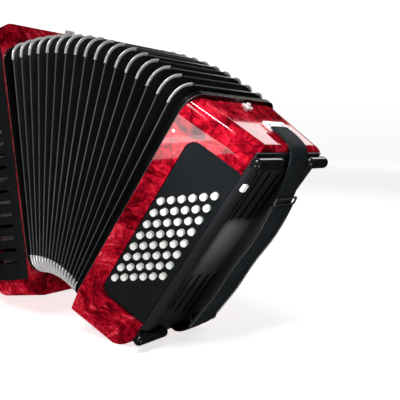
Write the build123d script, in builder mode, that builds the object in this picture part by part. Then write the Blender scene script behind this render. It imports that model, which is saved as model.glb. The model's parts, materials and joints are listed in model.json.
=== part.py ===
"""Piano accordion with 26 keys and 48 bass buttons, standing with its bellows fanned open.

Each side is drawn upright in its own frame: X runs from the treble side to the bass side,
Y from the front to the back, Z up, with the bellows' front bottom corner at Y = 0, Z = 0.
The bellows folds, and with them the bass side, then turn about the bellows' bottom edge.
"""
import os
from math import asin, atan2, cos, degrees, hypot, radians, sin

from build123d import *

# ---- driving dimensions, mm and degrees ----
BELLOWS_HEIGHT = 290.0
BELLOWS_DEPTH = 165.0
BELLOWS_CORNER = 22.0
FOLD_BODIES = 8                  # rigid fold rings between the two end frames
FOLD_PITCH = 9.2                 # spacing of the rings when the bellows are shut
FOLD_RING = 8.0                  # thickness of one ring
FOLD_WALL = 24.0                 # depth of the pleats
FAN_PER_JOINT = 5.2              # opening angle between neighbouring rings
FRAME_BACK = 2.0                 # how far an end frame reaches into its casing

CASING_BOTTOM = -21.0
CASING_TOP = 285.5
CASING_WALL = 4.0
CASING_END = 82.0                # bass casing, from the bellows to its end
FRONT_SLANT = 18.8               # the bass casing's front face slants back by this angle
FRONT_EDGE_RADIUS = 20.0
CHIN_TOP = 21.0                  # below this height the front face leans back to the bottom
CHIN_DEPTH = 6.0
CHIN_RADIUS = 12.0
END_BOTTOM_RADIUS = 38.0
END_TOP_RADIUS = 7.0
CAVITY_BOTTOM = 10.0
END_WINDOW_HEIGHT = 231.0

BUTTON_COLUMNS = ["counter_bass", "bass_note", "major_chord", "minor_chord", "seventh_chord", "diminished_chord"]
BUTTON_ROWS = 8
BUTTON_PITCH_H = 8.85
BUTTON_PITCH_V = 16.0
BUTTON_STEP_V = 8.24             # each column towards the end sits this much higher
BUTTON_FIRST_H = 30.0
BUTTON_FIRST_V = 177.5
BUTTON_RADIUS = 3.7
BUTTON_RISE = 4.6                # how far a button stands out from the front face
BOARD_LEFT, BOARD_RIGHT = 22.4, 84.3
BOARD_BOTTOM, BOARD_TOP = 36.5, 253.5
BOARD_STEP = 3.2                 # the board drops to a low ledge along its bottom edge
BOARD_RECESS = 0.8
BOARD_THICKNESS = 3.0

COVER_BOTTOM, COVER_TOP = 10.0, 280.0
COVER_WALL = 2.6
AIR_BUTTON_Y, AIR_BUTTON_Z = 35.0, 241.5
AIR_BUTTON_WIDTH, AIR_BUTTON_HEIGHT = 7.4, 9.0
FOOT_RADIUS = 6.5
FOOT_X = 91.0
FOOT_LOW_Z, FOOT_HIGH_Z = 23.0, 273.0
FOOT_SEAT = 2.0                  # thickness of the end cover under the feet
FOOT_SPANS = [(18.0, 68.0), (121.5, 163.5)]  # front and rear feet, from the front to the back

STRAP_Y = 101.0
STRAP_WIDTH = 38.0
STRAP_THICKNESS = 2.4
STRAP_STANDOFF_X = 108.0

TREBLE_BOTTOM, TREBLE_TOP = -30.0, 320.0
TREBLE_LENGTH = 78.0
TREBLE_WALL = 4.0
KEYBOARD_END_X = -190.0
BED_FRONT_Y, BED_BACK_Y = 36.0, 54.0
BED_BOTTOM, BED_TOP = -20.0, 310.0
WHITE_KEYS = 16
WHITE_PITCH = 19.5
KEY_FRONT_Y, KEY_BACK_Y = 16.0, 28.0
WHITE_TIP_X = -187.0
BLACK_TIP_X = -141.0
KEY_TAIL_X = -60.0
AXLE_X, AXLE_Y = -66.0, 26.0
AXLE_RADIUS = 2.0
BLACK_AFTER_WHITE = [1, 2, 4, 5, 6, 8, 9, 11, 12, 13]   # notes B to C: a black key after these white ones

pieces = []                      # (name, solid in its own side's frame, place of that side)


# ---- where each ring of the fan stands, in the treble side's frame ----
def ring_place(k):
    x, z = 0.0, 0.0
    for step in range(k):
        before = radians(step * FAN_PER_JOINT)
        after = radians((step + 1) * FAN_PER_JOINT)
        x += FOLD_PITCH / 2 * (cos(before) + cos(after))
        z -= FOLD_PITCH / 2 * (sin(before) + sin(after))
    return Location((x, 0, z), (0, k * FAN_PER_JOINT, 0))


def hinge_point(k):
    """The bottom-edge hinge between ring k - 1 and ring k."""
    return (ring_place(k - 1) * Location((FOLD_PITCH / 2, 0, 0))).position


TREBLE = ring_place(0)
BASS = ring_place(FOLD_BODIES + 1)


def keep(piece, name, side):
    pieces.append((name, piece.part, side))


# ---- bellows ----
def bellows_outline(grow=0.0):
    with Locations((BELLOWS_DEPTH / 2, BELLOWS_HEIGHT / 2)):
        RectangleRounded(BELLOWS_DEPTH + 2 * grow, BELLOWS_HEIGHT + 2 * grow, BELLOWS_CORNER + grow)


def bellows_window(wall):
    with Locations((BELLOWS_DEPTH / 2, BELLOWS_HEIGHT / 2)):
        RectangleRounded(BELLOWS_DEPTH - 2 * wall, BELLOWS_HEIGHT - 2 * wall, 6.0, mode=Mode.SUBTRACT)


for k in range(1, FOLD_BODIES + 1):
    with BuildPart() as fold:
        with BuildSketch(Plane.YZ):
            bellows_outline(-0.5)
            bellows_window(FOLD_WALL)
        extrude(amount=FOLD_RING / 2, both=True)
        with BuildSketch(Plane.YZ):
            bellows_outline(0.5)
            with Locations((BELLOWS_DEPTH / 2, BELLOWS_HEIGHT / 2)):
                RectangleRounded(BELLOWS_DEPTH - 18, BELLOWS_HEIGHT - 18, 14.0, mode=Mode.SUBTRACT)
        extrude(amount=0.6, both=True, mode=Mode.SUBTRACT)
    keep(fold, f"bellows_fold_{k}", ring_place(k))

with BuildPart() as bellows_frame_treble:
    with BuildSketch(Plane.YZ.offset(-FRAME_BACK)):
        bellows_outline()
        bellows_window(14.0)
    extrude(amount=FRAME_BACK + FOLD_RING / 2)
keep(bellows_frame_treble, "bellows_frame_treble", TREBLE)

with BuildPart() as bellows_frame_bass:
    with BuildSketch(Plane.YZ.offset(-FOLD_RING / 2)):
        bellows_outline()
        bellows_window(14.0)
    extrude(amount=FRAME_BACK + FOLD_RING / 2)
keep(bellows_frame_bass, "bellows_frame_bass", BASS)

# ---- bass casing: slanted front, rounded top edge, bottom that leans back and rounds into the end ----
SLANT = radians(FRONT_SLANT)
END_FRONT_Y = (CASING_END - FRAME_BACK) * sin(SLANT) / cos(SLANT)
FRONT = Plane(origin=(FRAME_BACK, 0, 0), x_dir=(cos(SLANT), sin(SLANT), 0), z_dir=(sin(SLANT), -cos(SLANT), 0))
ACROSS_FRONT = Plane(origin=(FRAME_BACK, 0, 0), x_dir=(-sin(SLANT), cos(SLANT), 0), z_dir=FRONT.x_dir)
BOARD_MIDDLE = ((BOARD_LEFT + BOARD_RIGHT) / 2, (BOARD_BOTTOM + BOARD_TOP) / 2)

with BuildSketch(ACROSS_FRONT) as front_profile:
    with BuildLine():
        Polyline(
            (0, CASING_TOP),
            (250, CASING_TOP),
            (250, CASING_BOTTOM),
            (CHIN_DEPTH, CASING_BOTTOM),
            (0, CHIN_TOP),
            close=True,
        )
    make_face()
    fillet(front_profile.vertices().sort_by_distance((0, CASING_TOP))[0], FRONT_EDGE_RADIUS)
    fillet(front_profile.vertices().sort_by_distance((0, CHIN_TOP))[0], CHIN_RADIUS)
    fillet(front_profile.vertices().sort_by_distance((CHIN_DEPTH, CASING_BOTTOM))[0], CHIN_RADIUS)

with BuildSketch(Plane.XZ.offset(-BELLOWS_DEPTH - 1)) as end_profile:
    with BuildLine():
        Polyline(
            (FRAME_BACK, CASING_BOTTOM),
            (CASING_END, CASING_BOTTOM),
            (CASING_END, CASING_TOP),
            (FRAME_BACK, CASING_TOP),
            close=True,
        )
    make_face()
    fillet(end_profile.vertices().sort_by_distance((CASING_END, CASING_TOP))[0], END_TOP_RADIUS)
    fillet(end_profile.vertices().sort_by_distance((CASING_END, CASING_BOTTOM))[0], END_BOTTOM_RADIUS)

with BuildPart() as bass_casing:
    with BuildSketch(Plane.XY.offset(CASING_BOTTOM)):
        with BuildLine():
            Polyline(
                (FRAME_BACK, 0),
                (CASING_END, END_FRONT_Y),
                (CASING_END, BELLOWS_DEPTH),
                (FRAME_BACK, BELLOWS_DEPTH),
                close=True,
            )
        make_face()
    extrude(amount=CASING_TOP - CASING_BOTTOM)
    rear_caps = bass_casing.edges().filter_by(Axis.X).filter_by(lambda e: e.center().Y > BELLOWS_DEPTH - 1)
    fillet(rear_caps, FRONT_EDGE_RADIUS)
    extrude(front_profile.sketch, amount=260, both=True, mode=Mode.INTERSECT)
    extrude(end_profile.sketch, amount=BELLOWS_DEPTH + 2, mode=Mode.INTERSECT)
    with BuildSketch(Plane.XY.offset(CAVITY_BOTTOM)):
        with BuildLine():
            Polyline(
                (FRAME_BACK, CASING_WALL + 6),
                (CASING_END - CASING_WALL, END_FRONT_Y + CASING_WALL + 5),
                (CASING_END - CASING_WALL, BELLOWS_DEPTH - CASING_WALL - 5),
                (FRAME_BACK, BELLOWS_DEPTH - CASING_WALL - 5),
                close=True,
            )
        make_face()
    extrude(amount=CASING_TOP - CASING_WALL - CAVITY_BOTTOM, mode=Mode.SUBTRACT)
    with BuildSketch(Plane.YZ.offset(CASING_END - CASING_WALL)):
        with Locations(((END_FRONT_Y + BELLOWS_DEPTH) / 2 + 2, BELLOWS_HEIGHT / 2)):
            RectangleRounded(BELLOWS_DEPTH - END_FRONT_Y - 30, END_WINDOW_HEIGHT, 8)
    extrude(amount=CASING_WALL + 1, mode=Mode.SUBTRACT)
    with BuildSketch(FRONT.offset(1)):
        with Locations((BOARD_MIDDLE[0] + 4, BOARD_MIDDLE[1])):
            RectangleRounded(BOARD_RIGHT - BOARD_LEFT + 8.6, BOARD_TOP - BOARD_BOTTOM + 0.6, 13)
    extrude(amount=-(BOARD_RECESS + BOARD_THICKNESS + 1.2), mode=Mode.SUBTRACT)
    with BuildSketch(FRONT.offset(1)):
        with Locations(BOARD_MIDDLE):
            RectangleRounded(BOARD_RIGHT - BOARD_LEFT - 5, BOARD_TOP - BOARD_BOTTOM - 12, 9)
    extrude(amount=-16, mode=Mode.SUBTRACT)
    with BuildSketch(Plane.YZ.offset(CASING_END - 12)):
        with Locations((AIR_BUTTON_Y, AIR_BUTTON_Z)):
            RectangleRounded(AIR_BUTTON_WIDTH + 1.2, AIR_BUTTON_HEIGHT + 1.2, 2.2)
    extrude(amount=14, mode=Mode.SUBTRACT)
keep(bass_casing, "bass_casing", BASS)


# ---- buttons and the board they slide in ----
def button_spot(column, row):
    h = BUTTON_FIRST_H + column * BUTTON_PITCH_H
    v = BUTTON_FIRST_V - row * BUTTON_PITCH_V + column * BUTTON_STEP_V
    return h, v


ALL_BUTTONS = [button_spot(c, r) for c in range(len(BUTTON_COLUMNS)) for r in range(BUTTON_ROWS)]

with BuildPart() as bass_button_board:
    with BuildSketch(FRONT.offset(-BOARD_RECESS - BOARD_THICKNESS)):
        with Locations((BOARD_MIDDLE[0] + 3, BOARD_MIDDLE[1])):
            RectangleRounded(BOARD_RIGHT - BOARD_LEFT + 6, BOARD_TOP - BOARD_BOTTOM, 12.7)
        with Locations((BOARD_RIGHT + 10, BOARD_MIDDLE[1])):
            Rectangle(20, BOARD_TOP, mode=Mode.SUBTRACT)
        with Locations(*ALL_BUTTONS):
            Circle(BUTTON_RADIUS + 0.3, mode=Mode.SUBTRACT)
    extrude(amount=BOARD_THICKNESS)
    with BuildSketch(FRONT.offset(-BOARD_RECESS - 2)):
        with Locations(BOARD_MIDDLE):
            Rectangle(BOARD_RIGHT - BOARD_LEFT + 30, BOARD_TOP - BOARD_BOTTOM + 20)
        with Locations((BOARD_MIDDLE[0] + 8, BOARD_MIDDLE[1] + BOARD_STEP / 2 + 5)):
            RectangleRounded(BOARD_RIGHT - BOARD_LEFT + 15, BOARD_TOP - BOARD_BOTTOM - BOARD_STEP + 10, 11, mode=Mode.SUBTRACT)
    extrude(amount=3, mode=Mode.SUBTRACT)
keep(bass_button_board, "bass_button_board", BASS)

for column, column_name in enumerate(BUTTON_COLUMNS):
    with BuildPart() as buttons:
        with BuildSketch(FRONT.offset(-BOARD_RECESS - BOARD_THICKNESS - 1.6)):
            with Locations(*[button_spot(column, row) for row in range(BUTTON_ROWS)]):
                Circle(BUTTON_RADIUS + 1.0)
        extrude(amount=1.5)
        with BuildSketch(FRONT.offset(-BOARD_RECESS - BOARD_THICKNESS - 0.2)):
            with Locations(*[button_spot(column, row) for row in range(BUTTON_ROWS)]):
                Circle(BUTTON_RADIUS)
        extrude(amount=BOARD_RECESS + BOARD_THICKNESS + 0.2 + BUTTON_RISE)
        tops = buttons.faces().filter_by(lambda f: f.normal_at().dot(FRONT.z_dir) > 0.99)
        tops = tops.filter_by(lambda f: FRONT.to_local_coords(f.center()).Z > 0)
        fillet(tops.edges(), 1.3)
    keep(buttons, f"{column_name}_buttons", BASS)

# ---- end cover: a long moulded palm rest with two groups of vents ----
COVER_PROFILE = [(0.4, 27.6), (5.6, 32.0), (6.2, 41.0), (3.6, 54.0), (5.2, 76.0), (8.0, 92.0)]
COVER_RIDGE = 100.0
COVER_REAR = 158.0
COVER_FLOOR = 4.0
VENT_Y = [44.5, 57.5, 70.5, 83.5, 94.0]
LOWER_VENT_FOOT = [65.0, 57.0, 49.0, 46.0, 46.0]
UPPER_VENT_FOOT = [194.0, 194.0, 194.0, 194.0, 203.0]
LOWER_VENT_TOP, UPPER_VENT_TOP = 112.0, 258.0
with BuildPart() as bass_end_cover:
    with BuildSketch(Plane.XY.offset(COVER_BOTTOM)):
        with BuildLine():
            front_wave = Spline(*[(CASING_END + x, y) for x, y in COVER_PROFILE])
            Polyline(
                front_wave @ 1,
                (CASING_END + COVER_PROFILE[-1][0], COVER_RIDGE),
                (CASING_END + COVER_FLOOR, COVER_RIDGE + 2.0),
                (CASING_END + COVER_FLOOR, COVER_REAR),
                (CASING_END, COVER_REAR),
                (CASING_END, COVER_PROFILE[0][1]),
                front_wave @ 0,
            )
        make_face()
    extrude(amount=COVER_TOP - COVER_BOTTOM)
    with BuildSketch(Plane.YZ.offset(CASING_END - 1)):
        for feet, top in ((LOWER_VENT_FOOT, LOWER_VENT_TOP), (UPPER_VENT_FOOT, UPPER_VENT_TOP)):
            for y, foot in zip(VENT_Y, feet):
                with Locations((y, (foot + top) / 2)):
                    RectangleRounded(3.2, top - foot, 1.5)
        with Locations((AIR_BUTTON_Y, AIR_BUTTON_Z)):
            RectangleRounded(AIR_BUTTON_WIDTH + 0.8, AIR_BUTTON_HEIGHT + 0.8, 2.2)
    extrude(amount=14, mode=Mode.SUBTRACT)
    for foot_z, outward in ((FOOT_LOW_Z, -1), (FOOT_HIGH_Z, 1)):
        with BuildSketch(Plane.YZ.offset(CASING_END + FOOT_SEAT)):
            with Locations(((END_FRONT_Y + BELLOWS_DEPTH) / 2, foot_z + outward * 10)):
                Rectangle(BELLOWS_DEPTH, 2 * FOOT_RADIUS + 24)
        extrude(amount=14, mode=Mode.SUBTRACT)
keep(bass_end_cover, "bass_end_cover", BASS)

with BuildPart() as air_button:
    with BuildSketch(Plane.YZ.offset(CASING_END - 5)):
        with Locations((AIR_BUTTON_Y, AIR_BUTTON_Z)):
            RectangleRounded(AIR_BUTTON_WIDTH, AIR_BUTTON_HEIGHT, 1.8)
    extrude(amount=5 + 8.5)
    fillet(air_button.faces().sort_by(Axis.X)[-1].edges(), 1.4)
keep(air_button, "air_button", BASS)

with BuildPart() as bass_feet:
    for z in (FOOT_LOW_Z, FOOT_HIGH_Z):
        for start, end in FOOT_SPANS:
            with BuildSketch(Plane.XZ.offset(-start)):
                with Locations((FOOT_X, z)):
                    Circle(FOOT_RADIUS)
            extrude(amount=start - end)
    fillet(bass_feet.edges().filter_by(GeomType.CIRCLE), 5.0)
    for z in (FOOT_LOW_Z, FOOT_HIGH_Z):
        for start, end in FOOT_SPANS:
            with BuildSketch(Plane.YZ.offset(CASING_END + FOOT_SEAT)):
                with Locations(((start + end) / 2 + 2, z)):
                    Rectangle(24, 9)
            extrude(amount=5)
keep(bass_feet, "bass_feet", BASS)

# ---- bass strap with its bracket, buckle and pad ----
STRAP_PATH = [
    (51.0, CASING_TOP + 3.8),
    (84.0, CASING_TOP + 3.8),
    (100.0, 246.0),
    (STRAP_STANDOFF_X, 206.0),
    (STRAP_STANDOFF_X, 46.0),
    (101.0, 20.0),
    (CASING_END + FOOT_SEAT, 20.0),
]
STRAP_BENDS = [10.0, 40.0, 60.0, 12.0, 6.0]
with BuildPart() as bass_strap:
    with BuildLine(Plane.XZ.offset(-STRAP_Y)) as strap_line:
        FilletPolyline(*STRAP_PATH, radius=STRAP_BENDS)
    with BuildSketch(Plane(origin=strap_line.line @ 0, x_dir=(0, 1, 0), z_dir=strap_line.line % 0)):
        Rectangle(STRAP_WIDTH, STRAP_THICKNESS)
    sweep()
keep(bass_strap, "bass_strap", BASS)

with BuildPart() as bass_strap_pad:
    with BuildSketch(Plane.XZ.offset(-STRAP_Y)):
        with Locations((STRAP_STANDOFF_X + STRAP_THICKNESS / 2 + 2.4, 124.0)):
            RectangleRounded(4.4, 150.0, 2.0)
    extrude(amount=STRAP_WIDTH / 2 + 3, both=True)
keep(bass_strap_pad, "bass_strap_pad", BASS)

with BuildPart() as bass_strap_bracket:
    with BuildSketch(Plane.XY.offset(CASING_TOP)):
        with Locations((46.5, STRAP_Y + 4)):
            RectangleRounded(16.0, STRAP_WIDTH + 4, 3.0)
    extrude(amount=2.4)
    with BuildSketch(Plane.XY.offset(CASING_TOP + 2.4)):
        with Locations((43.0, STRAP_Y - 10), (43.0, STRAP_Y + 18)):
            Circle(2.6)
    extrude(amount=1.4)
keep(bass_strap_bracket, "bass_strap_bracket", BASS)

with BuildPart() as bass_strap_buckle:
    with BuildSketch(Plane(origin=(104.6, STRAP_Y, 233.0), x_dir=(0, 1, 0), z_dir=(0.98, 0, 0.19))):
        RectangleRounded(STRAP_WIDTH + 5, 9, 2)
        RectangleRounded(STRAP_WIDTH + 1.4, 5.6, 0.8, mode=Mode.SUBTRACT)
    extrude(amount=1.8)
keep(bass_strap_buckle, "bass_strap_buckle", BASS)


# ---- snap studs that hold the bellows straps, and the reed blocks inside ----
def snap_stud(x, y, z, up):
    with BuildSketch(Plane(origin=(x, y, z), z_dir=(0, 0, up))) as clover:
        Circle(4.6)
        with PolarLocations(4.2, 4, start_angle=45):
            Circle(2.3)
    extrude(clover.sketch, amount=1.6)
    with BuildSketch(Plane(origin=(x, y, z + up * 1.6), z_dir=(0, 0, up))) as knob:
        Circle(2.6)
    extrude(knob.sketch, amount=2.6)


with BuildPart() as bass_snap_studs:
    snap_stud(9.6, 93.0, CASING_TOP, 1)
    snap_stud(9.6, 93.0, CASING_BOTTOM, -1)
    with BuildSketch(FRONT):
        with Locations((4.4, 248.6)):
            Circle(1.5)
    extrude(amount=1.2)
keep(bass_snap_studs, "bass_snap_studs", BASS)

with BuildPart() as treble_snap_studs:
    snap_stud(-14.0, 96.0, TREBLE_TOP, 1)
    snap_stud(-14.0, 96.0, TREBLE_BOTTOM, -1)
keep(treble_snap_studs, "treble_snap_studs", TREBLE)


def reed_block(length, depth, height, centre):
    with Locations(centre):
        Box(length, depth, height)
        for side in (-1, 1):
            with Locations((0, side * depth / 2, 0)):
                with GridLocations(length / 3, 1, 2, 1):
                    Box(length / 4, 8, height - 16, mode=Mode.SUBTRACT)


with BuildPart() as bass_reed_block:
    reed_block(50.0, 60.0, 190.0, (36.0, 100.0, 145.0))
    with Locations((7.0, 100.0, (CASING_TOP - CASING_WALL + CAVITY_BOTTOM) / 2)):
        Box(10.0, BELLOWS_DEPTH - 2 * (CASING_WALL + 5) - 66, CASING_TOP - CASING_WALL - CAVITY_BOTTOM)
keep(bass_reed_block, "bass_reed_block", BASS)

with BuildPart() as treble_reed_block:
    reed_block(40.0, 70.0, 220.0, (-32.0, 100.0, 145.0))
    with Locations((-10.0, 100.0, 145.0)):
        Box(8.0, 80.0, TREBLE_TOP - TREBLE_BOTTOM - 2 * TREBLE_WALL)
keep(treble_reed_block, "treble_reed_block", TREBLE)

# ---- treble casing ----
with BuildPart() as treble_casing:
    with Locations((-FRAME_BACK - TREBLE_LENGTH / 2 + 1, BELLOWS_DEPTH / 2, (TREBLE_TOP + TREBLE_BOTTOM) / 2)):
        Box(TREBLE_LENGTH - 2, BELLOWS_DEPTH, TREBLE_TOP - TREBLE_BOTTOM)
    fillet(treble_casing.edges().filter_by(Axis.X), FRONT_EDGE_RADIUS)
    with Locations((-FRAME_BACK - TREBLE_LENGTH / 2 + 1, BELLOWS_DEPTH / 2, (TREBLE_TOP + TREBLE_BOTTOM) / 2)):
        Box(
            TREBLE_LENGTH - 2 - 2 * TREBLE_WALL,
            BELLOWS_DEPTH - 18,
            TREBLE_TOP - TREBLE_BOTTOM - 2 * TREBLE_WALL,
            mode=Mode.SUBTRACT,
        )
    with BuildSketch(Plane.YZ.offset(-FRAME_BACK)):
        bellows_outline(-14.0)
    extrude(amount=-TREBLE_WALL - 1, mode=Mode.SUBTRACT)
    with BuildSketch(Plane.XZ):
        with Locations((-FRAME_BACK - TREBLE_LENGTH / 2 + 1, (TREBLE_TOP + TREBLE_BOTTOM) / 2)):
            Rectangle(TREBLE_LENGTH - 16, TREBLE_TOP - TREBLE_BOTTOM - 56)
    extrude(amount=-12, mode=Mode.SUBTRACT)
    with BuildSketch(Plane.YZ.offset(-TREBLE_LENGTH - 1)):
        with Locations(((KEY_FRONT_Y + KEY_BACK_Y) / 2 + 1, (BED_TOP + BED_BOTTOM) / 2)):
            Rectangle(KEY_BACK_Y - KEY_FRONT_Y + 6, BED_TOP - BED_BOTTOM - 14)
    extrude(amount=TREBLE_WALL + 2, mode=Mode.SUBTRACT)
keep(treble_casing, "treble_casing", TREBLE)

GRILLE_BULGE = 7.0
with BuildPart() as treble_grille:
    with BuildSketch(Plane.XY.offset(TREBLE_BOTTOM + 24)):
        with BuildLine():
            left = (-TREBLE_LENGTH + 2, 0)
            right = (-FRAME_BACK - 2, 0)
            middle = (left[0] + right[0]) / 2
            ThreePointArc(left, (middle, -GRILLE_BULGE), right)
            Line(right, (right[0] - 4, 0))
            ThreePointArc((right[0] - 4, 0), (middle, -GRILLE_BULGE + 2.5), (left[0] + 4, 0))
            Line((left[0] + 4, 0), left)
        make_face()
    extrude(amount=TREBLE_TOP - TREBLE_BOTTOM - 48)
    with BuildSketch(Plane.XZ.offset(GRILLE_BULGE + 3)):
        with Locations((middle, (TREBLE_TOP + TREBLE_BOTTOM) / 2)):
            with GridLocations(1, 15.0, 1, 18):
                SlotOverall(46, 4.5)
    extrude(amount=-20, mode=Mode.SUBTRACT)
keep(treble_grille, "treble_grille", TREBLE)

# ---- keyboard ----
CHEEK = 7.0
KEYBOARD_START_Z = (BED_TOP + BED_BOTTOM) / 2 - WHITE_KEYS * WHITE_PITCH / 2
with BuildSketch(Plane.XZ.offset(-BED_BACK_Y)) as bed_outline:
    with Locations(((KEYBOARD_END_X - TREBLE_LENGTH) / 2, (BED_TOP + BED_BOTTOM) / 2)):
        Rectangle(-KEYBOARD_END_X - TREBLE_LENGTH, BED_TOP - BED_BOTTOM)
    fillet(bed_outline.vertices().group_by(Axis.X)[0], FOOT_RADIUS)
with BuildPart() as keyboard_bed:
    extrude(bed_outline.sketch, amount=BED_BACK_Y - KEY_FRONT_Y + 2)
    with Locations(((KEYBOARD_END_X - TREBLE_LENGTH) / 2, BED_FRONT_Y - 20, (BED_TOP + BED_BOTTOM) / 2)):
        Box(-KEYBOARD_END_X - TREBLE_LENGTH + 2, 40, BED_TOP - BED_BOTTOM - 2 * CHEEK, mode=Mode.SUBTRACT)
keep(keyboard_bed, "keyboard_bed", TREBLE)

with BuildPart() as key_axle:
    with BuildSketch(Plane.XY.offset(TREBLE_BOTTOM + TREBLE_WALL)):
        with Locations((AXLE_X, AXLE_Y)):
            Circle(AXLE_RADIUS)
    extrude(amount=TREBLE_TOP - TREBLE_BOTTOM - 2 * TREBLE_WALL)
keep(key_axle, "key_axle", TREBLE)

BLACK_WIDTH = 10.6
KEY_GAP = 1.0


def black_centre(white_index):
    return KEYBOARD_START_Z + white_index * WHITE_PITCH


def key_lever(z, width, tip_x):
    with Locations(((tip_x + KEY_TAIL_X) / 2, (KEY_FRONT_Y + KEY_BACK_Y) / 2, z)):
        Box(KEY_TAIL_X - tip_x, KEY_BACK_Y - KEY_FRONT_Y, width)


def axle_bore():
    with BuildSketch(Plane.XY.offset(BED_BOTTOM)) as bore:
        with Locations((AXLE_X, AXLE_Y)):
            Circle(AXLE_RADIUS + 0.06)
    extrude(bore.sketch, amount=BED_TOP - BED_BOTTOM, mode=Mode.SUBTRACT)


for i in range(WHITE_KEYS):
    key_z = KEYBOARD_START_Z + (i + 0.5) * WHITE_PITCH
    with BuildPart() as white_key:
        key_lever(key_z, WHITE_PITCH - KEY_GAP, WHITE_TIP_X)
        front_edges = white_key.edges().filter_by(lambda e: e.center().X < WHITE_TIP_X + 0.1)
        fillet(front_edges.filter_by(Axis.Z), 1.8)
        for boundary in BLACK_AFTER_WHITE:
            if boundary in (i, i + 1):
                with Locations(((BLACK_TIP_X + KEY_TAIL_X) / 2 - 1, (KEY_FRONT_Y + KEY_BACK_Y) / 2, black_centre(boundary))):
                    Box(KEY_TAIL_X - BLACK_TIP_X + 4, 20, BLACK_WIDTH + 2 * KEY_GAP, mode=Mode.SUBTRACT)
        axle_bore()
    keep(white_key, f"white_key_{i + 1}", TREBLE)

for i, boundary in enumerate(BLACK_AFTER_WHITE):
    with BuildPart() as black_key:
        key_lever(black_centre(boundary), BLACK_WIDTH, BLACK_TIP_X)
        with BuildSketch(Plane.XZ.offset(-KEY_FRONT_Y)):
            with Locations(((BLACK_TIP_X - TREBLE_LENGTH) / 2 - 2, black_centre(boundary))):
                Rectangle(-BLACK_TIP_X - TREBLE_LENGTH - 4, BLACK_WIDTH)
        extrude(amount=9, taper=8)
        axle_bore()
    keep(black_key, f"black_key_{i + 1}", TREBLE)

# ---- eyes for the shoulder straps, on the treble casing's back edge ----
EYE_WIDTH, EYE_HEIGHT = 14.0, 14.0
EYE_RADIUS = 3.2
EYE_RISE = 8.0
EYE_THICKNESS = 4.0
EYE_Y = 132.0
with BuildPart() as shoulder_strap_brackets:
    for x in (-24.0, -62.0):
        for z, up in ((TREBLE_TOP, 1), (TREBLE_BOTTOM, -1)):
            with BuildSketch(Plane.YZ.offset(x)):
                with Locations((EYE_Y, z + up * EYE_HEIGHT / 2)):
                    Rectangle(EYE_WIDTH, EYE_HEIGHT)
                with Locations((EYE_Y, z + up * EYE_RISE)):
                    Circle(EYE_RADIUS, mode=Mode.SUBTRACT)
            extrude(amount=EYE_THICKNESS)
keep(shoulder_strap_brackets, "shoulder_strap_brackets", TREBLE)

# ---- stand the fanned accordion on the keyboard's corner and the bass casing's rounded corner ----
corner = Location((KEYBOARD_END_X + FOOT_RADIUS, 0, BED_BOTTOM + FOOT_RADIUS)).position
heel = (BASS * Location((CASING_END - END_BOTTOM_RADIUS, 0, CASING_BOTTOM + END_BOTTOM_RADIUS))).position
SPAN = hypot(heel.X - corner.X, heel.Z - corner.Z)
LEAN = degrees(atan2(heel.Z - corner.Z, heel.X - corner.X) - asin((END_BOTTOM_RADIUS - FOOT_RADIUS) / SPAN))
LEANED = Location((0, 0, 0), (0, LEAN, 0))

boxes = [(LEANED * side * solid).bounding_box() for _, solid, side in pieces]
low = [min(getattr(box.min, axis) for box in boxes) for axis in "XYZ"]
high = [max(getattr(box.max, axis) for box in boxes) for axis in "XYZ"]
STAND = Location((-(low[0] + high[0]) / 2, -(low[1] + high[1]) / 2, -low[2])) * LEANED

if __name__ == "__main__":
    os.makedirs("parts", exist_ok=True)
    for name, solid, side in pieces:
        placed = STAND * side * solid
        placed.label = name
        export_step(placed, f"parts/{name}.step")
    print(len(pieces), "nodes; lean", round(LEAN, 2), "degrees; size", [round(h - l, 1) for l, h in zip(low, high)])
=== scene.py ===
"""Looks for the piano accordion: pearl casings, pleated bellows with corner guards, strap and light."""
import json
from math import atan2, cos, pi, radians, sin

import bpy
from mathutils import Matrix, Vector


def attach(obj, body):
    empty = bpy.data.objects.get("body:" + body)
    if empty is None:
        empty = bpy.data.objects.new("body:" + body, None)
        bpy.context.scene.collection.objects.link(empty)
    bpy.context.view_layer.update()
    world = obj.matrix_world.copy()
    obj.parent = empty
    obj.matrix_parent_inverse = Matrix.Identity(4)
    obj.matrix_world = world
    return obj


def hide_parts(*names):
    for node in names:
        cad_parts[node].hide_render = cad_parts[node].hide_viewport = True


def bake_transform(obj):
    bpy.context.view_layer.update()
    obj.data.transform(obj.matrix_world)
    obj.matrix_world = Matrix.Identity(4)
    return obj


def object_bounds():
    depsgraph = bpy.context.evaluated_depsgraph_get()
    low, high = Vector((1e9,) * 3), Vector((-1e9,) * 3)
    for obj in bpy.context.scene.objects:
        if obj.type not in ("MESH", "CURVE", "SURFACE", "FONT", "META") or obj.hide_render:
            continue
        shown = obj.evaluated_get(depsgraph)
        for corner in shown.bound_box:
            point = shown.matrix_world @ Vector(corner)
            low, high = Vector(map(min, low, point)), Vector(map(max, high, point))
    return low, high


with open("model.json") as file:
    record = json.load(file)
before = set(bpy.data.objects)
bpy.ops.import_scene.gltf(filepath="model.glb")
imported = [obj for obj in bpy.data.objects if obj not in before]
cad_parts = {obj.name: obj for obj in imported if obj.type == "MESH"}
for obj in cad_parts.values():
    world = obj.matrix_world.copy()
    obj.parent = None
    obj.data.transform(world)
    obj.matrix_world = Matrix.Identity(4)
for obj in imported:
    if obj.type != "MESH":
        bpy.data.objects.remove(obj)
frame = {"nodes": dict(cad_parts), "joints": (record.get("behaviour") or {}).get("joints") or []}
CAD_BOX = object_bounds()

# ---- driving dimensions, metres ----
MM = 0.001
BELLOWS_HEIGHT = 290 * MM
BELLOWS_DEPTH = 165 * MM
BELLOWS_CORNER = 22 * MM
PLEAT_DEPTH = 21 * MM
CARD_THICKNESS = 0.5 * MM
STRAP_Y = 101 * MM
STRAP_WIDTH = 38 * MM
STRAP_THICKNESS = 2.4 * MM
PAD_WIDTH = 49 * MM

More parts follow.
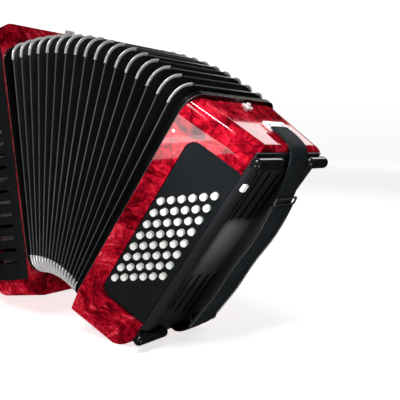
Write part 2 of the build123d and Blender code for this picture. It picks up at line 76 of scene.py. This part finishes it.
# ---- the two sides and every bellows ring, from the hinges ----
HINGE_COUNT = 9
joints = {j["name"]: j for j in frame["joints"]}
HINGES = [Vector(joints[f"bellows_hinge_{k}"]["pos_m"]) for k in range(1, HINGE_COUNT + 1)]
RINGS = HINGE_COUNT - 1


def lean_between(a, b):
    return atan2(a.z - b.z, b.x - a.x)


inner_leans = [lean_between(HINGES[k], HINGES[k + 1]) for k in range(RINGS)]
FAN = inner_leans[1] - inner_leans[0]
LEANS = [inner_leans[0] - FAN] + inner_leans + [inner_leans[-1] + FAN]
PITCH = (HINGES[1] - HINGES[0]).length
FRONT_Y = HINGES[0].y - BELLOWS_DEPTH / 2


def outward(lean):
    """From the treble side towards the bass side, at a place with this lean."""
    return Vector((cos(lean), 0, -sin(lean)))


def side_place(origin, lean):
    """The frame of one side: x from treble to bass, y from the front to the rear, z up the casing."""
    return Matrix.Translation((origin.x, FRONT_Y, origin.z)) @ Matrix.Rotation(lean, 4, "Y")


TREBLE = side_place(HINGES[0] - outward(LEANS[0]) * PITCH / 2, LEANS[0])
BASS = side_place(HINGES[-1] + outward(LEANS[-1]) * PITCH / 2, LEANS[-1])


# ---- node helpers for the materials ----
class Shade:
    """A material with a Principled shader, and short calls for the nodes that feed it."""

    def __init__(self, name, color=(0.5, 0.5, 0.5), roughness=0.5, **sockets):
        self.material = bpy.data.materials.new(name)
        self.material.use_nodes = True
        self.tree = self.material.node_tree
        self.shader = self.tree.nodes["Principled BSDF"]
        self.shader.inputs["Base Color"].default_value = (*color, 1)
        self.shader.inputs["Roughness"].default_value = roughness
        for socket, value in sockets.items():
            self.shader.inputs[socket.replace("_", " ")].default_value = value
        self.coords = self.tree.nodes.new("ShaderNodeTexCoord").outputs["Object"]

    def feed(self, socket, value):
        """Links a node's output to a socket, or sets the socket to a plain value."""
        if hasattr(value, "is_output"):
            self.tree.links.new(value, socket)
        else:
            socket.default_value = value

    def node(self, kind, **inputs):
        node = self.tree.nodes.new(kind)
        for name, value in inputs.items():
            self.feed(node.inputs[name.replace("_", " ")], value)
        return node

    def noise(self, scale, detail=2.0, roughness=0.5, distortion=0.0, vector=None):
        node = self.node("ShaderNodeTexNoise", Vector=vector or self.coords, Scale=scale, Detail=detail,
                         Roughness=roughness, Distortion=distortion)
        return node.outputs["Fac"]

    def voronoi(self, scale, feature="F1", vector=None):
        node = self.node("ShaderNodeTexVoronoi", Vector=vector or self.coords, Scale=scale)
        node.feature = feature
        return node

    def ramp(self, factor, stops):
        """A color ramp from (place, color) stops."""
        node = self.node("ShaderNodeValToRGB", Fac=factor)
        ramp = node.color_ramp
        while len(ramp.elements) < len(stops):
            ramp.elements.new(0.5)
        for element, (place, color) in zip(ramp.elements, stops):
            element.position = place
            element.color = (*color, 1)
        return node.outputs["Color"]

    def mask(self, factor, stops):
        """A number from 0 to 1, from (place, level) stops."""
        grey = self.ramp(factor, [(place, (level,) * 3) for place, level in stops])
        return self.channels(grey)["Red"]

    def grey_ramp(self, factor, low, high):
        return self.ramp(factor, [(0.3, (low,) * 3), (0.7, (high,) * 3)])

    def channels(self, color):
        return self.node("ShaderNodeSeparateColor", Color=color).outputs

    def math(self, operation, a, b=0.0):
        node = self.tree.nodes.new("ShaderNodeMath")
        node.operation = operation
        for socket, value in zip(node.inputs, (a, b)):
            self.feed(socket, value)
        return node.outputs[0]

    def mix(self, factor, a, b):
        """Color a where the factor is 0, color b where it is 1."""
        node = self.tree.nodes.new("ShaderNodeMix")
        node.data_type = "RGBA"
        for socket, value in ((node.inputs[0], factor), (node.inputs[6], a), (node.inputs[7], b)):
            self.feed(socket, (*value, 1) if isinstance(value, tuple) else value)
        return node.outputs[2]

    def warp(self, scale, amount):
        """The object's coordinates, each moved a little by a slow noise."""
        noise = self.node("ShaderNodeTexNoise", Vector=self.coords, Scale=scale, Detail=2.0)
        shift = self.node("ShaderNodeVectorMath")
        shift.operation = "MULTIPLY_ADD"
        for socket, value in zip(shift.inputs, (noise.outputs["Color"], (amount,) * 3, self.coords)):
            self.feed(socket, value)
        return shift.outputs[0]

    def color(self, output):
        self.feed(self.shader.inputs["Base Color"], output)

    def roughness(self, output):
        self.feed(self.shader.inputs["Roughness"], output)

    def bump(self, height, strength, distance):
        node = self.node("ShaderNodeBump", Height=height, Strength=strength, Distance=distance)
        self.feed(self.shader.inputs["Normal"], node.outputs["Normal"])


def red_pearl():
    """Celluloid in curved silky shards, each brushed its own way, with dark creases between them."""
    shade = Shade("red_pearl", roughness=0.34, Coat_Weight=1.0, Coat_Roughness=0.035, Coat_IOR=1.54,
                  Specular_IOR_Level=0.0)
    warped = shade.warp(34.0, 0.022)
    shards = shade.voronoi(30.0, vector=warped)
    rims = shade.voronoi(30.0, "DISTANCE_TO_EDGE", vector=warped)
    shard = shade.channels(shards.outputs["Color"])
    turn = shade.math("MULTIPLY", shard["Green"], 6.28)
    turned = shade.node("ShaderNodeVectorRotate", Vector=warped, Axis=(0.5, 0.4, 0.77), Angle=turn)
    stroke = shade.node("ShaderNodeMapping", Vector=turned.outputs[0], Scale=(1.0, 0.22, 0.6)).outputs[0]
    streaks = shade.noise(150.0, 4.0, 0.55, 1.3, vector=stroke)
    silk = shade.noise(520.0, 3.0, 0.6, 0.6, vector=stroke)
    clouds = shade.noise(21.0, 3.0, 0.55, 1.6)
    tone = shade.math("MULTIPLY", streaks, 0.56)
    for part, share in ((shard["Red"], 0.12), (silk, 0.10), (clouds, 0.34)):
        tone = shade.math("ADD", tone, shade.math("MULTIPLY", part, share))
    pearl = shade.ramp(tone, [
        (0.36, (0.030, 0.000, 0.001)),
        (0.46, (0.110, 0.001, 0.005)),
        (0.54, (0.300, 0.003, 0.012)),
        (0.62, (0.520, 0.008, 0.024)),
        (0.70, (0.740, 0.040, 0.070)),
        (0.80, (0.950, 0.210, 0.250)),
    ])
    crease = shade.noise(40.0, 3.0, 0.5, 1.4, vector=warped)
    from_crease = shade.math("ABSOLUTE", shade.math("SUBTRACT", crease, 0.5))
    crease_line = shade.mask(from_crease, [(0.0, 1.0), (0.014, 0.0)])
    rim_line = shade.mask(rims.outputs["Distance"], [(0.0, 1.0), (0.022, 0.0)])
    lines = shade.math("MAXIMUM", crease_line, shade.math("MULTIPLY", rim_line, 0.75))
    shade.color(shade.mix(shade.math("MULTIPLY", lines, 0.72), pearl, (0.050, 0.000, 0.002)))
    shade.roughness(shade.grey_ramp(silk, 0.24, 0.44))
    shade.bump(shade.noise(14.0, 2.0), 0.04, 0.002)
    return shade.material


def chrome():
    shade = Shade("chrome_bright", (0.97, 0.97, 0.98), 0.2, Metallic=0.45)
    shade.roughness(shade.grey_ramp(shade.noise(320.0, 4.0), 0.12, 0.28))
    shade.bump(shade.noise(900.0, 3.0), 0.04, 0.0004)
    return shade.material


def bellows_cloth():
    shade = Shade("bellows_cloth", (0.004, 0.004, 0.005), 0.45, Coat_Weight=0.4, Coat_Roughness=0.3,
                  Specular_IOR_Level=0.3)
    weave = shade.noise(1400.0, 2.0)
    shade.color(shade.mix(shade.noise(60.0, 4.0), (0.004, 0.004, 0.004), (0.012, 0.012, 0.013)))
    shade.roughness(shade.grey_ramp(shade.noise(180.0, 3.0), 0.34, 0.52))
    shade.bump(weave, 0.25, 0.0004)
    return shade.material


# the tape over the peaks, lighter grey than the cloth: partly its own colour, partly a painted highlight
# along the peaks
def peak_tape_with_painted_highlight():
    shade = Shade("peak_tape_with_painted_highlight", (0.05, 0.05, 0.052), 0.3, Coat_Weight=0.5, Coat_Roughness=0.15)
    shade.color(shade.mix(shade.noise(240.0, 3.0), (0.050, 0.052, 0.054), (0.110, 0.113, 0.118)))
    shade.bump(shade.noise(1500.0, 2.0), 0.2, 0.0003)
    return shade.material


def moulded(name, low, high, rough_low, rough_high, grain=1500.0, strength=0.12, **sockets):
    """A plain hard surface whose color and gloss wander a little between two values."""
    shade = Shade(name, low, rough_low, **sockets)
    shade.color(shade.mix(shade.noise(45.0, 4.0), low, high))
    shade.roughness(shade.grey_ramp(shade.noise(140.0, 4.0), rough_low, rough_high))
    shade.bump(shade.noise(grain, 2.0), strength, 0.0003)
    return shade.material


def leather():
    shade = Shade("strap_leather", (0.008, 0.009, 0.010), 0.52, Specular_IOR_Level=0.07)
    pores = shade.voronoi(900.0)
    creases = shade.noise(260.0, 5.0, 0.6)
    shade.color(shade.mix(shade.noise(50.0, 4.0), (0.009, 0.011, 0.013), (0.020, 0.024, 0.027)))
    shade.roughness(shade.grey_ramp(creases, 0.42, 0.64))
    shade.bump(shade.math("ADD", pores.outputs["Distance"], creases), 0.35, 0.0006)
    return shade.material


def wood():
    shade = Shade("bare_wood", (0.5, 0.34, 0.2), 0.6)
    stretched = shade.node("ShaderNodeMapping", Vector=shade.coords, Scale=(6.0, 60.0, 6.0)).outputs[0]
    grain = shade.noise(18.0, 5.0, 0.6, 0.6, vector=stretched)
    shade.color(shade.mix(grain, (0.36, 0.22, 0.11), (0.62, 0.44, 0.26)))
    shade.bump(grain, 0.2, 0.0006)
    return shade.material


def stitch_thread():
    shade = Shade("stitch_thread", (0.035, 0.035, 0.037), 0.7, Sheen_Weight=0.3)
    shade.color(shade.mix(shade.noise(2400.0, 2.0), (0.02, 0.02, 0.02), (0.07, 0.07, 0.07)))
    shade.bump(shade.noise(3000.0, 2.0), 0.3, 0.0002)
    return shade.material


def end_cover():
    """Satin black, with a painted reflection on the palm rest between the vents and painted shade in them."""
    shade = Shade("end_cover_black", (0.006, 0.006, 0.007), 0.34, Specular_IOR_Level=0.38)
    local = shade.node("ShaderNodeMapping", Vector=shade.coords, Location=BASS.to_translation(),
                       Rotation=tuple(BASS.to_euler()))
    local.vector_type = "TEXTURE"
    place = shade.node("ShaderNodeSeparateXYZ", Vector=local.outputs[0]).outputs
    height_share = shade.math("MULTIPLY", place["Z"], 1 / BELLOWS_HEIGHT)
    depth_share = shade.math("MULTIPLY", place["Y"], 1 / BELLOWS_DEPTH)
    # painted reflection: the palm rest is made grey in the cover's colour, standing in for the floor's
    # reflection there
    up_the_cover = shade.mask(height_share, [(0.30, 0.0), (0.44, 0.4), (0.57, 1.0), (0.64, 0.9), (0.68, 0.0)])
    across_the_cover = shade.mask(depth_share, [(0.26, 0.0), (0.37, 1.0), (0.54, 0.8), (0.62, 0.15)])
    painted_palm_reflection = shade.math("MULTIPLY", up_the_cover, across_the_cover)
    cover_and_painted_reflection = shade.mix(painted_palm_reflection, (0.018, 0.018, 0.021), (0.150, 0.147, 0.160))
    # painted shade: faces turned to the front or rear, the walls of the vents, are made near black
    normal = shade.node("ShaderNodeNewGeometry").outputs["Normal"]
    facing = shade.node("ShaderNodeSeparateXYZ", Vector=normal).outputs["Y"]
    painted_vent_shade = shade.math("GREATER_THAN", shade.math("ABSOLUTE", facing), 0.97)
    shade.color(shade.mix(painted_vent_shade, cover_and_painted_reflection, (0.001, 0.001, 0.001)))
    shade.roughness(shade.grey_ramp(shade.noise(140.0, 4.0), 0.30, 0.40))
    shade.bump(shade.noise(1500.0, 2.0), 0.12, 0.0003)
    return shade.material


RED = red_pearl()
CHROME = chrome()
CLOTH = bellows_cloth()
TAPE_WITH_PAINTED_HIGHLIGHT = peak_tape_with_painted_highlight()
COVER_BLACK = moulded("cover_black", (0.005, 0.006, 0.007), (0.010, 0.011, 0.012), 0.3, 0.4,
                      Specular_IOR_Level=0.38)
FOOT_BLACK = moulded("foot_black", (0.006, 0.006, 0.007), (0.012, 0.012, 0.013), 0.08, 0.14, 700.0, 0.03,
                     Specular_IOR_Level=0.7)
CHARCOAL = moulded("board_charcoal", (0.006, 0.0075, 0.009), (0.010, 0.012, 0.014), 0.5, 0.64, 1100.0, 0.15,
                   Specular_IOR_Level=0.12)
FRAME_BLACK = moulded("frame_lacquer", (0.002, 0.002, 0.002), (0.005, 0.005, 0.005), 0.14, 0.26, 300.0, 0.04,
                      Specular_IOR_Level=0.3)
WHITE = moulded("button_white", (0.80, 0.80, 0.76), (0.88, 0.88, 0.85), 0.16, 0.26, 500.0, 0.03,
                Subsurface_Weight=0.05)
KEY_WHITE = moulded("key_white", (0.78, 0.77, 0.72), (0.85, 0.84, 0.80), 0.14, 0.24, 400.0, 0.03,
                    Coat_Weight=0.5)
KEY_BLACK = moulded("key_black", (0.008, 0.008, 0.009), (0.014, 0.014, 0.015), 0.16, 0.28, 400.0, 0.04,
                    Coat_Weight=0.5)
TRIM_GREY = moulded("trim_grey", (0.10, 0.10, 0.105), (0.17, 0.17, 0.175), 0.2, 0.34, 900.0, 0.06,
                    Metallic=0.7)
STEEL = moulded("steel_bright", (0.42, 0.42, 0.43), (0.5, 0.5, 0.51), 0.25, 0.4, 900.0, 0.08, Metallic=1.0)
LEATHER = leather()
WOOD = wood()
THREAD = stitch_thread()

FINISHES = {
    "bass_casing": RED, "treble_casing": RED, "keyboard_bed": RED,
    "bellows_frame_treble": FRAME_BLACK, "bellows_frame_bass": FRAME_BLACK,
    "bass_button_board": CHARCOAL, "bass_end_cover": end_cover(), "treble_grille": COVER_BLACK,
    "bass_feet": FOOT_BLACK, "bass_snap_studs": CHROME, "treble_snap_studs": CHROME,
    "shoulder_strap_brackets": CHROME, "bass_strap_bracket": CHROME, "bass_strap_buckle": TRIM_GREY,
    "bass_reed_block": WOOD, "treble_reed_block": WOOD, "key_axle": STEEL, "air_button": WHITE,
    "bass_strap": LEATHER, "bass_strap_pad": LEATHER,
}


def finish_of(node):
    if node in FINISHES:
        return FINISHES[node]
    if node.endswith("_buttons"):
        return WHITE
    if node.startswith("white_key"):
        return KEY_WHITE
    if node.startswith("black_key"):
        return KEY_BLACK
    return CLOTH


for node, shown in frame["nodes"].items():
    shown.data.materials.clear()
    shown.data.materials.append(finish_of(node))


# ---- mesh helpers ----
def mesh_piece(name, points, faces, materials, face_material=None):
    """A smooth-shaded piece in the scene; face_material says which of the materials each face takes."""
    mesh = bpy.data.meshes.new(name)
    mesh.from_pydata([tuple(p) for p in points], [], faces)
    for material in materials:
        mesh.materials.append(material)
    if face_material:
        for polygon, index in zip(mesh.polygons, face_material):
            polygon.material_index = index
    mesh.shade_smooth()
    mesh.update()
    piece = bpy.data.objects.new(name, mesh)
    bpy.context.scene.collection.objects.link(piece)
    return piece


def thicken(piece, name, thickness, offset):
    """Gives a sheet its thickness: offset -1 keeps its outer face in place, 0 its middle."""
    sheet = piece.modifiers.new(name, "SOLIDIFY")
    sheet.thickness = thickness
    sheet.offset = offset


SMALLEST_CORNER = 1.5 * MM
CORNER_STEPS = 8


def bellows_outline(inset, per_corner=CORNER_STEPS):
    """Points (y, z) round the bellows, drawn in by inset, from the front bottom corner, anticlockwise."""
    radius = max(BELLOWS_CORNER - inset, SMALLEST_CORNER)
    low = inset + radius
    rear = BELLOWS_DEPTH - inset - radius
    top = BELLOWS_HEIGHT - inset - radius
    points = []
    for y, z, start in ((low, low, pi), (rear, low, 1.5 * pi), (rear, top, 0.0), (low, top, 0.5 * pi)):
        for i in range(per_corner + 1):
            turn = start + 0.5 * pi * i / per_corner
            points.append((y + radius * cos(turn), z + radius * sin(turn)))
    return points


def ring_faces(loops, count, close_loop=False):
    """Four-sided faces between loops of count points each; close_loop joins the last loop to the first."""
    faces = []
    rows = loops if close_loop else loops - 1
    for a in range(rows):
        b = (a + 1) % loops
        for i in range(count):
            j = (i + 1) % count
            faces.append((a * count + i, a * count + j, b * count + j, b * count + i))
    return faces


# ---- bellows ----
def fan_point(region, place, y, z):
    """A point of the pleats between two neighbouring bodies; place is 0 at the first and 1 at the second."""
    lean = LEANS[region] + place * FAN
    origin = HINGES[region] + outward(lean) * (place - 0.5) * PITCH
    up = Vector((sin(lean), 0, cos(lean)))
    return Vector((origin.x, FRONT_Y + y, origin.z)) + up * z


# One pleat from peak to peak: (place across the pleat, share of the pleat's depth)
PLEAT = [
    (0.00, 0.000), (0.035, 0.06), (0.10, 0.22), (0.30, 0.62), (0.46, 0.97), (0.50, 1.0),
    (0.54, 0.97), (0.70, 0.62), (0.90, 0.22), (0.965, 0.06), (1.00, 0.000),
]
STRIPS = len(PLEAT) - 1
# the strips at each peak take the tape, whose lighter grey is partly a painted highlight
HIGHLIGHTED_TAPE_STRIPS = (0, STRIPS - 1)
PEAK_INSET = 0.4 * MM
# how far the two edges at the bellows frames are drawn in
FRAME_INSET = 3 * MM


def pleat_region(region):
    """The two pleats between one ring and the next, or between an end ring and its bellows frame."""
    stations = []
    for pleat in (0, 1):
        for place, depth in PLEAT[pleat:]:
            stations.append(((pleat + place) / 2, depth * PLEAT_DEPTH))
    if region == 0:
        stations[0] = (0.0, FRAME_INSET)
    if region == RINGS:
        stations[-1] = (1.0, FRAME_INSET)
    points = []
    for place, inset in stations:
        outline = bellows_outline(inset + PEAK_INSET)
        points += [fan_point(region, place, y, z) for y, z in outline]
    count = len(outline)
    tape_and_highlight = [int(row % STRIPS in HIGHLIGHTED_TAPE_STRIPS) for row in range(len(stations) - 1) for _ in range(count)]
    piece = mesh_piece(f"pleats_{region + 1}", points, ring_faces(len(stations), count), [CLOTH, TAPE_WITH_PAINTED_HIGHLIGHT], tape_and_highlight)
    thicken(piece, "card", CARD_THICKNESS, -1.0)
    return piece


def bend_across(piece):
    """Bakes the piece's place into its mesh; it stays where it was built."""
    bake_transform(piece)


for region in range(RINGS + 1):
    pleats = pleat_region(region)
    bend_across(pleats)
    if region < RINGS:
        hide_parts(f"bellows_fold_{region + 1}")


# ---- chrome corner guards, folded over each peak ----
GUARD_REACH = 1.5 * MM
GUARD_HALF_WIDTH = 0.7 * MM
GUARD_THICKNESS = 0.35 * MM
# (place across the guard in half widths, inset from the bellows' outline in mm)
GUARD_SECTION = [
    (-1.0, 2.6), (-0.85, 1.2), (-0.45, -0.35), (0.0, -0.75), (0.45, -0.35), (0.85, 1.2), (1.0, 2.6),
]


def corner_route(corner, inset):
    """Points (y, z) along a peak round one corner, with a straight reach at each end."""
    first = corner * (CORNER_STEPS + 1)
    arc = [Vector(p) for p in bellows_outline(inset)[first:first + CORNER_STEPS + 1]]
    into = (arc[0] - arc[1]).normalized()
    out = (arc[-1] - arc[-2]).normalized()
    return [arc[0] + into * GUARD_REACH] + arc + [arc[-1] + out * GUARD_REACH]


def guard(name, region, place):
    """The four guards on the corners of one peak."""
    points, faces = [], []
    for corner in range(4):
        first = len(points)
        for across, inset in GUARD_SECTION:
            route = corner_route(corner, inset * MM)
            for y, z in route:
                region_width = PITCH + FAN * z
                points.append(fan_point(region, place + across * GUARD_HALF_WIDTH / region_width, y, z))
        length = len(route)
        for row in range(len(GUARD_SECTION) - 1):
            for i in range(length - 1):
                start = first + row * length + i
                faces.append((start, start + 1, start + 1 + length, start + length))
    piece = mesh_piece(name, points, faces, [CHROME])
    thicken(piece, "sheet_metal", GUARD_THICKNESS, 0.0)
    return piece


for region in range(RINGS + 1):
    middle_guard = guard(f"corner_guards_middle_{region + 1}", region, 0.5)
    bend_across(middle_guard)
for k in range(1, RINGS + 1):
    ring_guard = guard(f"corner_guards_ring_{k}", k - 1, 1.0)
    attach(ring_guard, f"fold_{k}")


# ---- thin bright trim round each bellows frame ----
TRIM_RADIUS = 0.45 * MM
TRIM_STANDOFF = 1.6 * MM
TRIM_SIDES = 6
TRIM_CORNER_STEPS = 12


def frame_trim(name, side, x, body):
    tube = []
    for turn in range(TRIM_SIDES):
        angle = 2 * pi * turn / TRIM_SIDES
        loop = bellows_outline(-TRIM_RADIUS * cos(angle), TRIM_CORNER_STEPS)
        tube += [side @ Vector((x + TRIM_RADIUS * sin(angle), y, z)) for y, z in loop]
    piece = mesh_piece(name, tube, ring_faces(TRIM_SIDES, len(loop), True), [TRIM_GREY])
    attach(piece, body)


frame_trim("frame_trim_bass", BASS, TRIM_STANDOFF, "bass_side")
frame_trim("frame_trim_treble", TREBLE, -TRIM_STANDOFF, "treble_side")


# ---- bass strap: (x, z) in the bass side's frame, mm, from its top bracket down to the lower end ----
STRAP_PATH = [
    (51.0, 289.3), (70.0, 289.6), (86.0, 286.0), (95.0, 266.0), (101.0, 243.0), (106.5, 216.0),
    (108.0, 185.0), (108.0, 140.0), (108.0, 95.0), (108.0, 58.0), (105.5, 36.0), (98.0, 22.0), (85.5, 19.8),
]


def smooth_path(points, rounds=3):
    """Cuts the corners off a route given in mm, keeping its two ends."""
    path = [Vector(p) * MM for p in points]
    for _ in range(rounds):
        cut = [path[0]]
        for a, b in zip(path, path[1:]):
            cut += [a.lerp(b, 0.25), a.lerp(b, 0.75)]
        path = cut + [path[-1]]
    return path


def path_frames(path):
    """For each point of a path in the strap's plane: the point and its outward direction."""
    frames = []
    for i, point in enumerate(path):
        ahead = path[min(i + 1, len(path) - 1)] - path[max(i - 1, 0)]
        ahead.normalize()
        frames.append((point, Vector((-ahead.y, ahead.x))))
    return frames


def strap_strip(name, path, section, material):
    """Sweeps a closed section of (across, outward) points along a path."""
    points = []
    for point, out in path_frames(path):
        for across, lift in section:
            spot = point + out * lift
            points.append(BASS @ Vector((spot.x, STRAP_Y + across, spot.y)))
    count = len(section)
    rows = len(path)
    faces = ring_faces(rows, count)
    faces.append(tuple(range(count))[::-1])
    faces.append(tuple((rows - 1) * count + i for i in range(count)))
    return mesh_piece(name, points, faces, [material])


def belt_section(width, thickness, crown=0.0, steps=10):
    """A flat belt with rounded edges; crown lifts its middle."""
    upper, lower = [], []
    for i in range(steps + 1):
        t = -1 + 2 * i / steps
        edge = 1 - t ** 6
        upper.append((t * width / 2, thickness / 2 * edge + crown * (1 - t * t)))
        lower.append((t * width / 2, -thickness / 2 * edge))
    return upper + lower[::-1][1:-1]


strap_path = smooth_path(STRAP_PATH)
strap = strap_strip("leather_strap", strap_path, belt_section(STRAP_WIDTH, STRAP_THICKNESS), LEATHER)
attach(strap, "bass_side")
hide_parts("bass_strap")

# ---- padded sleeve on the strap, off its middle line and waving a little, with two lines of stitches ----
PAD_BOTTOM, PAD_TOP = 46 * MM, 228 * MM
PAD_THICKNESS = 2.4 * MM
PAD_CROWN = 2.4 * MM
PAD_SHIFT = -2.5 * MM
PAD_LIFT = 1.9 * MM
PAD_WAVE, PAD_WAVE_SPAN = 0.7 * MM, 13 * MM
PAD_STEPS = 16

pad_line = [p for p in strap_path if PAD_BOTTOM < p.y < PAD_TOP]
pad_path = [p + out * (PAD_LIFT + PAD_WAVE * sin(p.y / PAD_WAVE_SPAN)) for p, out in path_frames(pad_line)]
pad_belt = belt_section(PAD_WIDTH, PAD_THICKNESS, PAD_CROWN, PAD_STEPS)
pad_section = [(across + PAD_SHIFT, lift) for across, lift in pad_belt]
pad = strap_strip("padded_sleeve", pad_path, pad_section, LEATHER)
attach(pad, "bass_side")
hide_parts("bass_strap_pad")

SEAM_INSET = 3 * MM
SEAM_HALF_WIDTH = 0.4 * MM
SEAM_BASE, SEAM_CREST = 1.5 * MM, 2.3 * MM
seam_reach = PAD_WIDTH / 2 - SEAM_INSET

for name, across in (("sleeve_stitches_front", PAD_SHIFT - seam_reach),
                     ("sleeve_stitches_rear", PAD_SHIFT + seam_reach)):
    seam_section = [(across - SEAM_HALF_WIDTH, SEAM_BASE), (across + SEAM_HALF_WIDTH, SEAM_BASE),
                    (across, SEAM_CREST)]
    seam = strap_strip(name, pad_path, seam_section, THREAD)
    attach(seam, "bass_side")


# ---- camera, placed in the bass side's frame ----
CAMERA_SPOT = Vector((0.3197, -0.4453, 0.4659))
CAMERA_TURN_X, CAMERA_TURN_Y, CAMERA_TURN_Z = radians(59.83), radians(-28.85), radians(44.6)
CAMERA_SENSOR_MM, CAMERA_LENS_MM = 36.0, 53.4

camera_data = bpy.data.cameras.new("camera")
camera_data.sensor_width = CAMERA_SENSOR_MM
camera_data.lens = CAMERA_LENS_MM
camera = bpy.data.objects.new("camera", camera_data)
bpy.context.scene.collection.objects.link(camera)
camera_turn = (Matrix.Rotation(CAMERA_TURN_Z, 4, "Z") @ Matrix.Rotation(CAMERA_TURN_Y, 4, "Y")
               @ Matrix.Rotation(CAMERA_TURN_X, 4, "X"))
camera.matrix_world = BASS @ Matrix.Translation(CAMERA_SPOT) @ camera_turn
bpy.context.scene.camera = camera
bpy.context.scene.view_settings.view_transform = "Standard"

# ---- stage: a pale floor that curves up behind the object ----
SWEEP_FRONT, SWEEP_BACK, SWEEP_RADIUS, SWEEP_HEIGHT, SWEEP_WIDTH = -5.0, 4.0, 1.0, 1.6, 14.0
SWEEP_STEPS = 16
FLOOR_GLOW = 0.75


def sweep_stage():
    """The floor runs straight away from the camera, and reflections leave it out."""
    profile = [(SWEEP_FRONT, 0.0)]
    for i in range(SWEEP_STEPS + 1):
        turn = 0.5 * pi * i / SWEEP_STEPS
        profile.append((SWEEP_BACK + SWEEP_RADIUS * sin(turn), SWEEP_RADIUS * (1 - cos(turn))))
    profile.append((SWEEP_BACK + SWEEP_RADIUS, SWEEP_HEIGHT))
    ahead = camera.matrix_world.to_3x3() @ Vector((0, 0, -1))
    heading = Matrix.Rotation(atan2(ahead.y, ahead.x), 4, "Z")
    points = []
    for distance, height in profile:
        for side in (-1, 1):
            points.append(heading @ Vector((distance, side * SWEEP_WIDTH / 2, CAD_BOX[0].z + height)))
    faces = [(2 * i, 2 * i + 1, 2 * i + 3, 2 * i + 2) for i in range(len(profile) - 1)]
    pale = Shade("floor_pale", (0.92, 0.92, 0.92), 0.8, Emission_Strength=FLOOR_GLOW, Specular_IOR_Level=0.1)
    pale.shader.inputs["Emission Color"].default_value = (1, 1, 1, 1)
    floor = mesh_piece("floor", points, faces, [pale.material])
    floor.visible_glossy = False


sweep_stage()

# ---- world: a pale backdrop that only the camera sees, so it lights nothing ----
world = bpy.data.worlds.new("studio")
bpy.context.scene.world = world
world.use_nodes = True
world.node_tree.nodes["Background"].inputs["Color"].default_value = (0.95, 0.97, 1.0, 1)
world.node_tree.nodes["Background"].inputs["Strength"].default_value = 1.0
world.cycles_visibility.diffuse = False
world.cycles_visibility.glossy = False


# ---- lights: sizes in metres, power in watts, places and targets in the bass side's frame ----
def aimed(place, target):
    """Stands at the place and shines at the target."""
    spot, aim = BASS @ Vector(place), BASS @ Vector(target)
    return Matrix.Translation(spot) @ (aim - spot).to_track_quat("-Z", "Y").to_matrix().to_4x4()


def light_object(name, kind, power):
    light = bpy.data.objects.new(name, bpy.data.lights.new(name, kind))
    light.data.energy = power
    bpy.context.scene.collection.objects.link(light)
    return light


def area_light(name, place, target, width, height, power):
    """A soft rectangle of light; with no target it shines straight down in the bass side's frame."""
    light = light_object(name, "AREA", power)
    light.data.shape = "RECTANGLE"
    light.data.size = width
    light.data.size_y = height
    light.visible_camera = False
    light.matrix_world = aimed(place, target) if target else BASS @ Matrix.Translation(place)


def corner_spot(place, target, power):
    """A narrow soft beam on the casing's front top corner, without a mirror image of its own."""
    light = light_object("corner_spot", "SPOT", power)
    light.data.spot_size = radians(22)
    light.data.spot_blend = 1.0
    light.data.shadow_soft_size = 0.03
    light.visible_glossy = False
    light.matrix_world = aimed(place, target)


area_light("key_light", (-0.45, -1.0, 1.5), (0.04, 0.08, 0.15), 0.7, 0.7, 13)
area_light("side_light", (1.5, -0.5, 0.5), (0.08, 0.08, 0.15), 0.6, 0.6, 4)
area_light("edge_strip", (-0.18, -0.28, 1.15), (0.04, 0.03, 0.28), 0.34, 0.06, 2.6)
area_light("top_card", (-0.310, 1.10, 0.646), None, 0.42, 0.86, 3.5)
area_light("front_card", (0.070, -0.52, 0.085), (0.03, 0.0, 0.24), 0.22, 0.07, 0.22)
area_light("front_card_low", (0.080, -0.52, 0.035), (0.03, 0.0, 0.24), 0.20, 0.04, 0.07)
corner_spot((-0.05, -0.45, 0.50), (0.045, 0.0, 0.275), 20)
